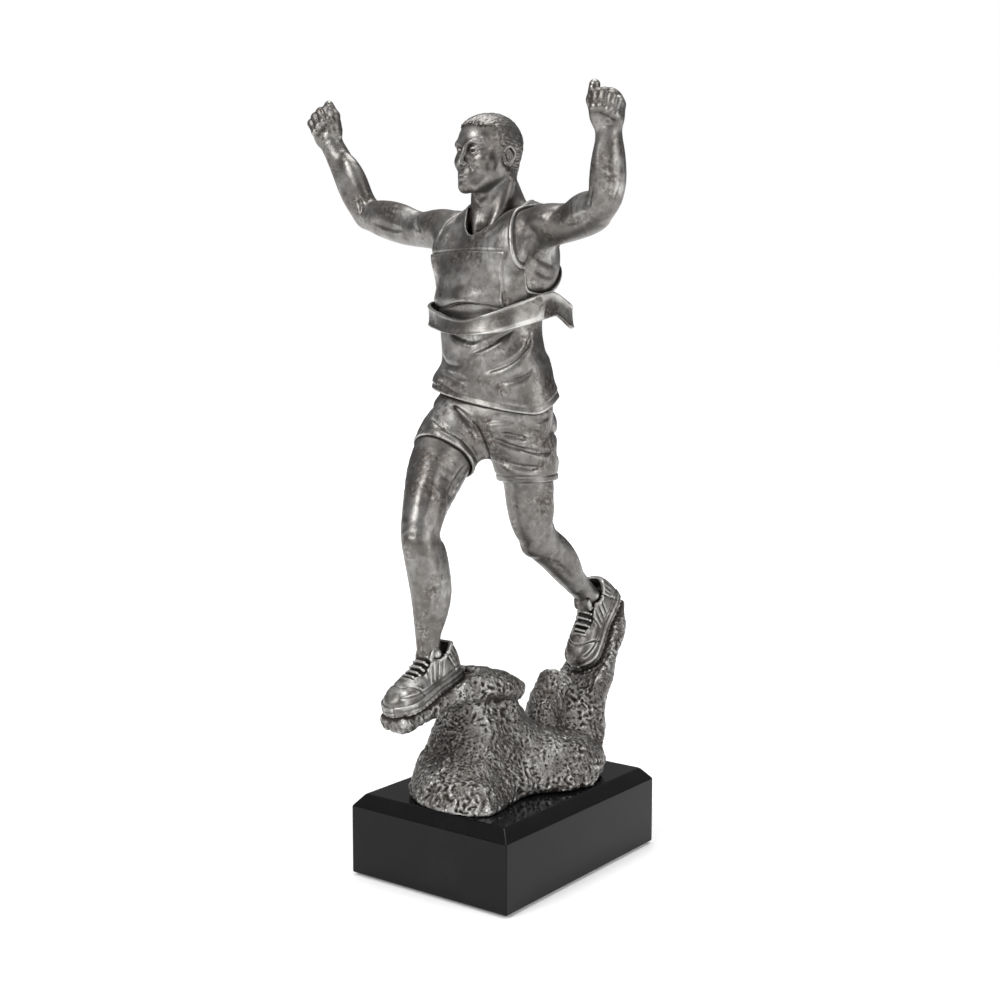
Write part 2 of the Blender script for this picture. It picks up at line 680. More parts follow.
def hem_height(P):
    """The hem slopes down to the left and rises again over the left hip."""
    turn = np.clip((P[1] + 10) / 14, 0, 1)
    return 181.6 - 0.2 * P[0] + 0.03 * P[1] + 5.5 * turn * turn * (3 - 2 * turn) * np.clip(P[0] / 12, 0, 1)


def bib(P, bare):
    """The blank number panel on the chest, standing off a little further towards its lower edge."""
    u, v = chest_axes(P)
    z = P[2]
    low = 218.2 + 1.0 * np.cos((u - 3) / 5.5) - 0.02 * u
    right = u - 17.0 - 0.45 * np.clip(z - 228, 0, 12)
    edge = smax(np.maximum(z - 237.4 - 0.5 * np.cos(u / 9), low - z), np.maximum(right, -u - 21.5), 0.8)
    edge = np.maximum(edge, v)
    swell = 0.7 * np.exp(-(((z - 231) / 5) ** 2 + ((u + 4) / 12) ** 2))
    swell += 1.1 * np.exp(-(((z - 220) / 3.4) ** 2)) * (1 + 0.4 * np.cos(u / 4))
    channel = 0.32 * np.exp(-(((edge - 0.4) / 0.45) ** 2))
    return smin(bare + channel, smax(bare - 0.25 - swell, edge, 0.5), 0.15)


def singlet_base(P):
    bare = smin(body(P), ellipsoid(P, (-20.0, -10.2, 189.2), (5.2, 5.2, 4.2)), 3.5)
    for side in (1, -1):
        back, top = (-5 + 12 * side, 4, 251.4, 4.2), (-5 + 16 * side, 2 - side, 250.2, 4.8)
        bare = smin(bare, chain(P, [back, top, (-5 + 18 * side, -5 - side, 245, 5.0)]), 3.0)
    flare = 0.55 * np.exp(-((P[2] - hem_height(P)) / 5) ** 2)
    return bare - CLOTH - flare


SINGLET_MARKS = Strokes(singlet_base, [
    # the hollow between the number panel and the tape
    ([(-24, -13, 214), (-15, -17.5, 213.2), (-4, -18.5, 213), (7, -17.5, 214), (14, -14, 215.5)], 2.4, 1.3),
    *fold([(-15, -17, 208.5), (-8, -18.5, 205.5), (-1.5, -18.5, 204.5), (2, -18.5, 206)], 1.0, 0.9, 0.5),
    *fold([(14, -13, 209.5), (7, -17, 204.5), (0.5, -18.5, 201.5), (-4.5, -18.5, 199.5)], 1.1, 0.9, 0.7),
    *fold([(16.5, -6, 211), (17, -9.5, 203), (14, -14, 198), (9, -17, 195), (2, -18.5, 193)], 1.0, 0.8, 0.8),
    *fold([(19, -8, 196), (17.5, -12, 192.5), (13, -15.5, 190.5), (8.5, -17.5, 189)], 0.7, 0.9, 0.6),
    *fold([(-24, -12, 200), (-19, -16.5, 196.5), (-11, -18.5, 195), (-7, -18.5, 196)], 0.7, 1.0, 0.5),
    *fold([(-21, -14, 193.5), (-12.5, -18, 192), (-2.5, -19, 189.5)], 0.8, 0.9, 0.5),
    *fold([(-24, -12, 190), (-17, -17, 188), (-10, -19.5, 185.8)], 0.6, 0.8, 0.4),
    *fold([(18.5, 4, 205), (19, 8, 199), (17, 12, 194)], 0.8, 1.0, 0.6),
    *fold([(20.5, 6, 192), (16, 12, 188.5), (8, 14.5, 187)], 0.7, 0.9, 0.5),
    *fold([(-22, 6, 206), (-14, 12, 202), (-5, 13.5, 200)], 0.8, 1.0, 0.6),
    *fold([(12, 11, 208), (3, 13.5, 204.5), (-6, 13.5, 205)], 0.8, 1.0, 0.6),
    *fold([(-25, 2, 198), (-20, 9, 194), (-10, 13, 192)], 0.8, 1.0, 0.6),
    # soft creases running from the armholes
    ([(-20, -14.5, 246), (-13, -16.5, 243), (-6, -17, 242)], 1.3, 0.35),
    ([(12, -15, 247), (7.5, -16.5, 243.5), (2, -17.5, 241.5)], 1.2, 0.4),
    ([(15, -16.2, 236), (14.4, -16.6, 228), (13.6, -16.4, 219)], 1.0, 0.3),
    ([(-6, 17.5, 246), (-6.5, 18, 232), (-6, 16.5, 214)], 2.4, 0.7),
    ([(16, 15, 244), (13, 17, 234), (8, 16.5, 224)], 2.0, 0.4),
    ([(-28, 13, 244), (-25, 16, 234), (-19, 16.5, 224)], 2.0, 0.4),
])


def singlet(P):
    base = singlet_base(P)
    above_hem = P[2] - hem_height(P)
    base = base + SINGLET_MARKS(P) + 0.3 * np.exp(-(((above_hem - 2.3) / 0.45) ** 2))
    base = bib(P, base)
    opening = np.minimum(np.minimum(neckline(P), armhole(P, 1)), armhole(P, -1))
    cloth = smax(smax(base, -opening, 0.5), -above_hem, 0.5)
    bead = np.sqrt((base + 0.1) ** 2 + (opening - 0.55) ** 2) - 0.52
    hem_bead = np.sqrt((base + 0.2) ** 2 + (above_hem - 0.6) ** 2) - 0.55
    return smin(smin(cloth, bead, 0.4), hem_bead, 0.4)


LEFT_BORDER = ((25.5, -8, 247), (0.95, -0.3, 0.08))
RIGHT_BORDER = ((-33.5, 3.5, 247), (-0.98, 0.14, 0.14))
NECK_BORDER = ((-5, -2, 253), (0, 0.1, 1))
LEFT_WRIST = ((59.8, -22.4, 277.2), (0.0, -0.06, 1.0))
RIGHT_WRIST = ((-95.6, 6.1, 285.6), (-0.43, -0.15, 0.88))


def torso(P):
    bare = smax(skin(P), hem_height(P) + 6 - P[2], 0.5)
    return smin(bare, singlet(P), 0.2)


def past_torso(P):
    d = np.maximum(beyond(P, *LEFT_BORDER), beyond(P, *RIGHT_BORDER))
    return np.maximum(d, np.minimum(beyond(P, *NECK_BORDER), 12.0 - np.abs(P[0] + 4.5)))


plan("torso_form", zoned(torso, past_torso), (-38, -26, 172), (30, 22, 259), shine=CLOTH_SHINE)


def arm_zone(border, wrist):
    def past(P):
        return np.maximum(-beyond(P, *border), beyond(P, *wrist))
    return past


plan("left_arm_form", zoned(limbs, arm_zone(LEFT_BORDER, LEFT_WRIST)), (22, -34, 234), (72, 4, 281))
plan("right_arm_form", zoned(limbs, arm_zone(RIGHT_BORDER, RIGHT_WRIST)), (-104, -8, 234), (-30, 20, 290))
LEFT_HAND = zoned(limbs, lambda P: -beyond(P, *LEFT_WRIST))
RIGHT_HAND = zoned(limbs, lambda P: -beyond(P, *RIGHT_WRIST))
plan("left_fist_form", LEFT_HAND, (48, -36, 274), (72, -10, 299), FINE_STEP)
plan("right_fist_form", RIGHT_HAND, (-112, -8, 281), (-84, 20, 309), FINE_STEP)


# ---------------------------------------------------------------- head

HEAD = np.array([-5.3, -5.9, 274.0])
HEAD_SCALE = 1.03
FACE_WAY = unit((-0.14, -0.985, 0.07))
HEAD_LEFT = unit(np.cross(UP, FACE_WAY))
HEAD_UP = unit(np.cross(FACE_WAY, HEAD_LEFT))


def head_axes(P):
    """Left, forward and up from the middle of the head."""
    q = [P[i] - REAL(HEAD[i]) for i in range(3)]
    turned = [q[0] * REAL(w[0]) + q[1] * REAL(w[1]) + q[2] * REAL(w[2]) for w in (HEAD_LEFT, FACE_WAY, HEAD_UP)]
    return np.stack(turned) / REAL(HEAD_SCALE)


def hair_edge(Q):
    """Negative where hair grows: above and behind the hairline, with a short sideburn before the ear."""
    side = np.abs(Q[0])
    front = smin(9.4 - Q[2] - 0.012 * side ** 2, Q[1] - 2.6 - 0.14 * (Q[2] - 4), 2.0)
    burn = smax(Q[1] - 0.9, -1.6 - Q[2], 0.6)
    nape = smax(Q[1] + 3.0, -8.2 - Q[2], 1.0)
    return smin(smin(smax(front, 2.2 - Q[2], 1.0), burn, 0.8), nape, 0.8)


def skull(Q):
    d = ellipsoid(Q, (0, -2.6, 4.4), (9.9, 12.0, 10.4))
    d = smin(d, ellipsoid(Q, (0, 2.8, 3.6), (8.5, 8.4, 8.6)), 3.0)
    d = smin(d, ellipsoid(Q, (0, -6.5, -3.4), (7.4, 6.2, 8.0)), 3.0)
    d = smin(d, ellipsoid(Q, (0, 3.6, -4.6), (7.4, 7.4, 9.0)), 2.5)
    for s in (1, -1):
        d = smin(d, cone(Q, (s * 7.0, -1.4, -6.2, 2.2), (s * 3.0, 7.2, -12.4, 2.3)), 3.0)
        d = smin(d, ellipsoid(Q, (s * 5.2, 6.7, -3.2), (2.9, 2.6, 2.4)), 3.6)
        d = smin(d, cone(Q, (s * 1.4, 10.2, 2.5, 1.3), (s * 5.9, 8.7, 2.9, 1.2)), 1.6)
    d = smin(d, ellipsoid(Q, (0, 8.9, -12.2), (3.0, 2.5, 2.3)), 2.4)
    d = smin(d, ellipsoid(Q, (0, 8.4, -8.4), (4.0, 3.2, 3.4)), 2.2)
    return d


def face(Q):
    d = skull(Q)
    for s in (1, -1):
        socket = ellipsoid(Q, (s * 3.5, 11.4, 0.0), (2.5, 2.3, 1.65))
        d = smax(d, -socket, 1.4)
        d = smin(d, ellipsoid(Q, (s * 3.5, 8.1, -0.1), (1.75, 1.75, 1.75)), 0.25)
        inner, outer = (s * 1.75, 9.6, -0.35), (s * 5.35, 8.9, -0.1)
        upper = chain(Q, [(*inner, 0.34), (s * 2.7, 10.3, 0.5, 0.5), (s * 3.9, 10.2, 0.6, 0.5), (*outer, 0.34)])
        under = (s * 2.8, 10.05, -1.0, 0.36), (s * 4.0, 9.9, -1.05, 0.36)
        lower = chain(Q, [(*inner, 0.3), *under, (*outer, 0.3)])
        cover = ellipsoid(Q, (s * 3.6, 8.9, 0.85), (2.3, 1.5, 1.2))
        d = smin(smin(smin(d, cover, 0.5), upper, 0.35), lower, 0.6)
        brow = chain(Q, [(s * 1.2, 11.3, 2.1, 0.55), (s * 3.6, 11.2, 3.0, 0.6), (s * 6.2, 9.3, 2.4, 0.4)])
        d = smin(d, brow, 0.8)
    d = smin(d, chain(Q, [(0, 10.6, 1.9, 0.95), (0, 11.7, -1.6, 0.95), (0, 12.9, -4.6, 1.1)]), 1.3)
    for s in (1, -1):
        d = smin(d, ellipsoid(Q, (s * 1.3, 11.7, -5.1), (0.85, 1.15, 0.8)), 1.2)
        d = smax(d, -ellipsoid(Q, (s * 0.85, 12.9, -5.95), (0.42, 0.7, 0.5)), 0.25)
    upper_lip = [
        (-2.6, 10.2, -9.0, 0.3), (-1.0, 11.15, -8.6, 0.55), (0, 11.3, -8.75, 0.55), (1.0, 11.15, -8.6, 0.55),
        (2.6, 10.2, -9.0, 0.3),
    ]
    lower_lip = [
        (-2.2, 10.2, -9.4, 0.35), (-0.9, 10.85, -9.85, 0.66), (0.9, 10.85, -9.85, 0.66), (2.2, 10.2, -9.4, 0.35),
    ]
    return smin(smin(d, chain(Q, upper_lip), 0.7), chain(Q, lower_lip), 0.7)


def ears(Q):
    d = None
    for s in (1, -1):
        lean = unit((s * 1.0, 0.25, 0.0))
        axes = (lean, unit(np.cross((0, 0, 1), lean)), (0, 0, 1))
        shell = ellipsoid(Q, (s * 9.3, -1.9, -1.3), (1.3, 2.3, 3.5), axes)
        bowl = ellipsoid(Q, (s * 10.7, -1.1, -1.0), (1.25, 1.3, 2.1), axes)
        rim = chain(Q, [
            (s * 9.6, 0.3, 0.4, 0.42), (s * 10.2, -0.2, 1.8, 0.5), (s * 10.7, -2.0, 2.1, 0.55),
            (s * 10.9, -3.7, 0.4, 0.55), (s * 10.5, -3.3, -1.9, 0.5), (s * 9.8, -1.9, -4.0, 0.75),
            (s * 9.5, -0.5, -3.7, 0.45),
        ])
        ear = smin(smax(shell, -bowl, 0.4), rim, 0.4)
        d = ear if d is None else np.minimum(d, ear)
    return d


FACE_MARKS = Strokes(face, [
    ([(-2.5, 10.6, -9.2), (-1.2, 11.4, -9.2), (0, 11.7, -9.3), (1.2, 11.4, -9.2), (2.5, 10.6, -9.2)], 0.32, 0.35),
    ([(0, 11.6, -6.3), (0, 11.8, -7.3)], 0.5, 0.25),
    ([(-1.8, 10.2, -11.2), (0, 10.4, -11.3), (1.8, 10.2, -11.2)], 0.8, 0.25),
    ([(2.5, 11.2, -5.0), (3.4, 10.6, -6.6), (3.8, 10, -8)], 0.7, 0.22),
    ([(-2.5, 11.2, -5.0), (-3.4, 10.6, -6.6), (-3.8, 10, -8)], 0.7, 0.22),
])


def hair(Q):
    """A close-cropped cap with fine strands and a short combed fringe."""
    angle = np.arctan2(Q[0], Q[2] - 1)
    strands = np.sin(angle * 62 + 4.5 * smooth_noise(Q, 4.0, 41)) * 0.05
    strands += 0.14 * smooth_noise(Q * np.array([[1.5], [0.7], [1.0]], REAL), 0.9, 42)
    fringe = 0.9 * np.exp(-((Q[1] - 10.5) / 3.6) ** 2) * np.clip(Q[2] - 5, 0, 3) / 3
    strands += fringe * 0.28 * np.sin(Q[0] * 4.6 + 1.2 * smooth_noise(Q, 2.5, 43))
    edge = hair_edge(Q) + 0.5 * smooth_noise(Q, 1.3, 44)
    return smax(skull(Q) - 0.5 - 0.35 * fringe + strands, edge * 0.8, 0.9)


def head_form(P):
    Q = head_axes(P).astype(REAL)
    bare = smin(face(Q) + FACE_MARKS(Q), ears(Q), 0.5)
    return smin(bare, hair(Q), 0.25)


def head_and_neck(P):
    return smin(head_form(P), skin(P), 1.6)


def past_head(P):
    """Below the neck's border, or beside the neck close above the shoulders."""
    beside = np.abs(P[0] + 4.5) - 12.0 - 3 * np.clip(P[2] - 256, 0, 2)
    return np.maximum(-beyond(P, *NECK_BORDER), beside)


plan("head_form", zoned(head_and_neck, past_head), (-23, -24, 250), (14, 16, 292), FINE_STEP, FACE_SHINE)


# ---------------------------------------------------------------- shorts and legs

RIGHT_LEG = [
    (-14.2, -16, 168, 11.0), (-14.2, -21, 162, 11.6), (-14, -26.8, 154, 10.8), (-12.4, -34.3, 143.5, 8.5),
    (-10.8, -39.3, 133.5, 7.3), (-9.4, -38.9, 123, 7.1), (-8.8, -36.3, 112, 7.4), (-9.4, -36.5, 101, 5.6),
    (-9.6, -36.6, 93, 4.6), (-9.4, -36.2, 84, 4.2),
]
LEFT_LEG = [
    (6.2, 1.4, 162, 10.4), (6.4, 3.6, 156, 10.1), (6, 6, 150, 9.6), (4.6, 8.8, 140, 8.1), (4.6, 13.8, 128.5, 7.5),
    (4.6, 23.5, 120.8, 6.8), (3.4, 34.5, 112.6, 6.0), (1.8, 45.5, 105.0, 5.0), (0.8, 58.4, 95.6, 4.7),
]
PELVIS = Stack([
    (-3.4, -6, 160, 13, 9, 8), (-3.2, -5, 168, 20.6, 13.6, 8), (-3.2, -4.2, 176, 24.0, 15.6, 7),
    (-3, -3.2, 183, 23.4, 15.0, 5), (-3, -3, 190, 22, 14.4, 3),
])
SHORTS_RIGHT = [
    (-10.5, -6, 177, 9.5), (-12.8, -11.5, 173, 11.8), (-13.8, -16.5, 168, 12.8), (-13.6, -22.6, 160, 12.8),
    (-13.4, -27, 154, 12.8),
]
SHORTS_LEFT = [
    (5, -4, 178, 10), (6.2, -2, 172, 12.2), (6.8, 1.2, 163, 12.8), (6.4, 5.2, 151, 11.7), (6.2, 7, 145, 11.5),
]
RIGHT_HEM = ((-13.6, -21.8, 161), (0.0, -0.707, -0.707))
LEFT_HEM = ((6.4, 4, 151.4), (0.0, 0.02, -1.0))


def shorts_base(P):
    d = PELVIS(P)
    right = smax(chain(P, SHORTS_RIGHT), beyond(P, *RIGHT_HEM), 0.8)
    left = smax(chain(P, SHORTS_LEFT), beyond(P, *LEFT_HEM), 0.8)
    d = smin(d, ellipsoid(P, (-21.2, -9.8, 179.6), (5.4, 5.4, 4.2)), 3.0)
    for seat in ((7, 8, 172), (-14, 7, 173)):
        d = smin(d, ellipsoid(P, seat, (9, 9, 9.5)), 4.0)
    return smin(smin(d, right, 3.0), left, 2.2)


SHORTS_MARKS = Strokes(shorts_base, [
    # the seam between the leg and the body of the shorts, then folds across each leg
    ([(-14.5, -18.5, 182), (-4.5, -21, 177), (1, -19, 170), (2, -15.5, 163), (1, -10, 158)], 0.9, 1.3),
    ([(-17, -20.5, 180), (-7.5, -23, 176), (-1.4, -21.5, 169.5), (0, -18, 163)], 1.6, -0.6),
    *fold(
        [(-17, -24.5, 177), (-13, -27.5, 175.5), (-8, -28, 172.5), (-4, -26, 170), (-0.5, -21.5, 165.5)],
        1.3, 0.9, 0.6, (0, -1.4, -1.8),
    ),
    *fold([(9, -17, 170.5), (14, -13.5, 169), (17.5, -8, 168)], 1.1, 0.8, 0.6),
    ([(16, -12, 171), (18, -8.5, 170.8), (19.5, -4, 170)], 1.0, 0.9),
    *fold([(20, -9, 174), (21, -5, 175), (21.4, 0, 176.5)], 0.8, 0.7, 0.4),
    *fold(
        [(4, -17.5, 169), (6, -17.5, 168), (12, -12.5, 165.5), (18.5, -4.5, 163), (19.8, 3.5, 163)],
        1.2, 0.9, 0.8,
    ),
    *fold([(3, -13, 163.5), (6, -11.5, 160), (11, -10, 158), (16, -6.5, 157), (19, 0, 158)], 1.0, 0.9, 0.7),
    *fold([(2.5, -16, 174.5), (8, -16.5, 175.5), (14, -13, 175)], 0.8, 1.0, 0.5),
    *fold([(20, 6, 172), (18, 12, 169), (10, 15, 168)], 0.9, 1.0, 0.6),
    *fold([(19, 9, 163), (14, 14.5, 160.5), (6, 16.5, 160)], 0.9, 1.0, 0.6),
    *fold([(-26, -10, 172), (-25, -4, 168), (-20, 2, 164)], 0.9, 1.0, 0.6),
    *fold([(-27, -6, 178), (-26, 2, 175), (-18, 9, 172)], 0.8, 1.0, 0.5),
    ([(-3, 13.5, 178), (-3.2, 13, 170), (-2, 8, 162)], 1.4, 1.6),
    ([(21, -4, 178), (20, 1, 166), (17.6, 6, 152)], 0.5, 0.4),
])


def shorts(P):
    d = shorts_base(P) + SHORTS_MARKS(P)
    for leg, hem in ((SHORTS_RIGHT, RIGHT_HEM), (SHORTS_LEFT, LEFT_HEM)):
        way, at = chain(P, leg), beyond(P, *hem)
        d = d + 0.4 * np.clip((3.0 - way) / 2, 0, 1) * np.exp(-(((at + 2.6) / 0.45) ** 2))
        d = smax(d, -smax(way + 1.2, -(at + 6), 0.8), 0.4)
        d = smin(d, np.sqrt((way + 0.5) ** 2 + (at + 0.55) ** 2) - 0.5, 0.4)
    return d


RIGHT_LEG_MUSCLES = [
    (muscle, (-13, -26, 166), (-10, -42.5, 136), 6.6, 5.4, (-0.2, -1, -0.3), 2.5),
    (muscle, (-7.6, -31, 152), (-6.4, -39.6, 133.6), 3.9, 4.0, (1, -0.6, 0), 2.0),
    (muscle, (-18, -29, 156), (-14.4, -40, 135), 4.0, 4.2, (-1, -0.4, 0), 2.0),
    (ellipsoid, (-10.2, -43.2, 130.6), (3.3, 2.6, 3.8), 3.0),
    (muscle, (-6.0, -33.4, 130), (-7.0, -33.0, 99), 3.4, 3.6, (0.6, 1, 0), 3.5),
    (muscle, (-11.6, -32.6, 130), (-10.4, -32.2, 100), 3.5, 3.6, (-0.5, 1, 0), 3.5),
    (chain, [(-9.6, -43.2, 125, 1.5), (-9.0, -41.2, 112, 1.7), (-8.8, -39.0, 99, 1.4)], 2.2),
]
LEFT_LEG_MUSCLES = [
    (muscle, (6.6, -1.0, 158), (4.8, 6.2, 126), 6.6, 5.2, (0, -1, -0.1), 2.5),
    (muscle, (12.5, 6, 154), (9.6, 11.6, 131), 3.6, 4.6, (1, 0, 0), 2.2),
    (ellipsoid, (4.7, 10.2, 123.6), (3.4, 3.4, 3.0), 4.0),
    (muscle, (6.8, 18, 128.5), (4.0, 43, 109.6), 3.9, 5.0, (0.35, 0.5, 1), 2.2),
    (muscle, (1.6, 18, 128), (1.0, 43, 109.2), 3.8, 4.4, (-0.35, 0.5, 1), 2.2),
    (chain, [(4.8, 15, 119.4, 1.4), (4.0, 28, 112.0, 1.4), (2.6, 42, 102.6, 1.2)], 3.0),
]
RIGHT_ANKLE = [((-5.4, -36.6, 88.6), 1.7), ((-13.4, -36.4, 87.6), 1.6)]
LEFT_ANKLE = [((5.0, 55, 98.6), 1.6), ((-3.2, 55.6, 98), 1.5)]


def leg(P, stations, muscles, ankle):
    d = add_on(P, chain(P, stations), muscles)
    return add_on(P, d, [(ellipsoid, spot, (r, r, r), 1.5) for spot, r in ankle])


def legs_base(P):
    right = leg(P, RIGHT_LEG, RIGHT_LEG_MUSCLES, RIGHT_ANKLE)
    return np.minimum(right, leg(P, LEFT_LEG, LEFT_LEG_MUSCLES, LEFT_ANKLE))


LEG_MARKS = Strokes(legs_base, [
    ([(-3.6, -20, 160), (-3.5, -24, 156), (-4.4, -29.5, 150), (-5, -33.5, 143)], 1.5, 1.0),
    ([(-8.4, -36, 156), (-7.6, -40, 148), (-7.2, -43, 140)], 1.8, 0.4),
    ([(-7.4, -46, 133.4), (-10, -47.6, 134.4), (-12.8, -46, 133.4)], 0.9, 0.35),
    ([(-7.6, -45, 127), (-10, -46, 126.4), (-12.4, -45, 127)], 0.9, 0.35),
    ([(-4.4, -38, 124), (-4.6, -37.5, 114), (-5.6, -37, 104)], 1.4, 0.5),
    ([(-8.7, -27.6, 122), (-8.6, -27.2, 113), (-8.8, -28.6, 104)], 1.1, 0.6),
    ([(11.5, -3, 150), (10.2, 1, 141), (8.8, 3.5, 132)], 1.6, 0.6),
    ([(14.4, 8, 148), (12.4, 12.4, 139), (11, 16, 130)], 1.5, 0.5),
    ([(4.6, 21, 127), (3.4, 30, 122), (2.4, 40, 114)], 1.1, 0.6),
    ([(9.6, 16, 119), (8.8, 26, 113.6), (7, 36, 107.6)], 1.4, 0.5),
    ([(3, 14.5, 134), (4.4, 15.6, 133.4), (6.4, 15.4, 133.4)], 1.0, 0.5),
])


def legs(P):
    return legs_base(P) + LEG_MARKS(P)


plan("shorts_form", shorts, (-32, -38, 146), (26, 22, 188), shine=CLOTH_SHINE)
plan("right_leg_form", lambda P: np.maximum(legs(P), P[1] + 5), (-28, -50, 80), (0, -4, 176))
plan("left_leg_form", lambda P: np.maximum(legs(P), -6 - P[1]), (-8, -7, 90), (20, 66, 170))


# ---------------------------------------------------------------- shoes

# half widths of the sole, then half widths and heights of the upper, at places from heel to toe
SOLE_PLAN = [(0, 4.2), (3, 6.2), (9, 7.1), (18, 6.9), (27, 8.0), (34.5, 8.2), (39, 6.0), (41.5, 2.2)]
UPPER = [
    (-0.3, 3.0, 11.5), (1.4, 5.0, 14.8), (5, 6.2, 16.4), (9, 6.5, 16.6), (13, 6.4, 16.4), (18, 6.1, 13.8),
    (24.5, 6.7, 11.2), (31, 7.2, 9.6), (36.5, 6.2, 8.4), (39.5, 4.2, 6.8), (41.2, 1.6, 5.2),
]


def shoe_frame(heel, toe):
    """The heel, and the ways forward, across and up, of a shoe that stands along a line."""
    forward = unit(np.subtract(toe, heel))
    up = unit(np.asarray(UP, float) - forward * forward[2])
    return np.asarray(heel, float), forward, np.cross(up, forward), up


SHOES = {
    "right": shoe_frame((-9, -21.5, 77.5), (-9, -62, 67.6)),
    "left": shoe_frame((2, 72.5, 97), (2, 48, 68)),
}


def shoe_axes(P, side):
    heel, forward, across, up = SHOES[side]
    q = [P[i] - REAL(heel[i]) for i in range(3)]
    return [q[0] * REAL(w[0]) + q[1] * REAL(w[1]) + q[2] * REAL(w[2]) for w in (forward, across, up)]


SHOE_SHRINK = 41.5 / 38.6


def shoe_sole(x, y, z):
    run = flow([(a, b, 0) for a, b in SOLE_PLAN], 5)
    half = np.interp(x, run[:, 0], run[:, 1]).astype(REAL)
    outline = np.maximum(np.abs(y) - half, np.maximum(-x, x - 42.2))
    welt = 0.35 * np.exp(-((z - 2.2) / 0.28) ** 2)
    tread = 0.35 * (np.sin(x * 2.6) > 0.3) * (z < 1.0)
    return smax(smax(outline + welt + tread, z - 4.0, 0.9), -z, 0.6)


def upper_form(x, y, z, middle=3.2, power=2.4):
    """The closed upper: straight sides below its middle height and a rounded top."""
    run = flow(UPPER, 5)
    half = np.interp(x, run[:, 0], run[:, 1]).astype(REAL)
    top = np.interp(x, run[:, 0], run[:, 2]).astype(REAL)
    ends = np.maximum(-0.6 - x, x - 41.4)
    deep = np.maximum(top - middle, 1.0)
    u, v = np.abs(y) / half, np.maximum(z - middle, 0) / deep
    k = (u ** power + v ** power + 1e-6) ** (1 / power)
    d = (k - 1) * np.minimum(half, deep) * 0.9
    d = np.where(z < middle, np.abs(y) - half, d)
    return smax(smax(d, ends, 1.0), 1.0 - z, 0.5)


def collared(upper, x, y, z):
    """Opens the upper at the ankle and puts a padded rim round it."""
    opening = (np.sqrt(((x - 8.6) / 7.0) ** 2 + (y / 5.6) ** 2) - 1) * 5.4
    dip = 13.9 + 1.3 * np.cos((x - 4.5) * 0.5) - 0.5 * np.clip(x - 10, 0, 8)
    upper = smax(upper, z - dip - 0.6, 0.8)
    upper = smax(upper, -smax(opening + 0.9, 9.5 - z, 0.5), 0.5)
    rim = np.sqrt((opening + 0.1) ** 2 + (z - np.minimum(dip, 16)) ** 2) - 0.85
    return smin(upper, rim, 0.6)


def laced(upper, x, y, z):
    """Sinks the lacing panel into the instep and lays five laces over it."""
    panel = np.maximum(np.abs(y) - 3.0 + 0.004 * (x - 16) ** 2, np.abs(x - 21.5) - 6.5)
    upper = upper + 0.6 / (1 + np.exp(np.clip(panel * 3, -30, 30)))
    upper = upper - 0.45 * np.exp(-((panel - 0.8) / 0.7) ** 2)
    for n in range(5):
        at = 16.4 + 2.6 * n
        height = np.interp(at, [r[0] for r in UPPER], [r[2] for r in UPPER])
        low = cone([x, y, z], (at, -3.4, height - 1.1, 0.62), (at + 0.5, 3.4, height - 1.1, 0.62))
        high = cone([x, y, z], (at, -2.2, height - 0.2, 0.6), (at + 0.5, 2.2, height - 0.2, 0.6))
        upper = smin(upper, smin(low, high, 0.6), 0.25)
    return upper


def overlays(x, y, z):
    """Depth of the seams round the toe cap, the heel counter, the rand and the slanted side bands."""
    def seam(off, width):
        return np.exp(-((off / width) ** 2))

    def start(inside):
        return np.clip(inside / 1.5, 0, 1)

    sides = np.clip((np.abs(y) - 1.5) / 2, 0, 1)
    depth = 0.42 * seam(x - 33.2 + 0.10 * y * y - 0.25 * (z - 6), 0.5)
    depth += 0.42 * sides * seam(x - 7.4 - 0.40 * (z - 8), 0.45) * (z > 5) * (z < 14.5)
    depth += 0.38 * seam(z - 5.4 - 0.0036 * (x - 20) ** 2, 0.35) * (x > 3) * (x < 38)
    for n in range(4):
        bend = x - 13.0 - 2.6 * n + 0.55 * (z - 10) + 0.03 * (z - 10) ** 2
        depth += 0.45 * sides * seam(bend, 0.42) * start(z - 5.6) * start(12.5 - z)
    for n in range(3):
        bend = x - 2.2 - 2.1 * n - 0.15 * (z - 10)
        depth += 0.3 * sides * seam(bend, 0.35) * start(z - 8) * start(14.5 - z)
    return depth


# where the tongue's middle stands in each shoe
TONGUE = {"right": (15.6, 0, 14.6), "left": (17.0, 0, 15.8)}


def shoe(P, side):
    x, y, z = shoe_axes(P, side)
    x = x * REAL(SHOE_SHRINK)
    upper = collared(upper_form(x, y, z), x, y, z)
    tongue = ellipsoid([x, y, z], TONGUE[side], (1.7, 3.9, 4.6), ((0.8, 0, 0.6), (0, 1, 0), (-0.6, 0, 0.8)))
    upper = laced(smin(upper, tongue, 0.5), x, y, z)
    return smin(upper + overlays(x, y, z), shoe_sole(x, y, z), 0.25).astype(REAL)


plan("right_shoe_form", lambda P: shoe(P, "right"), (-19, -66, 62), (1, -16, 98), SHOE_STEP)
plan("left_shoe_form", lambda P: shoe(P, "left"), (-8, 38, 62), (12, 82, 112), SHOE_STEP)


# ---------------------------------------------------------------- finish tape

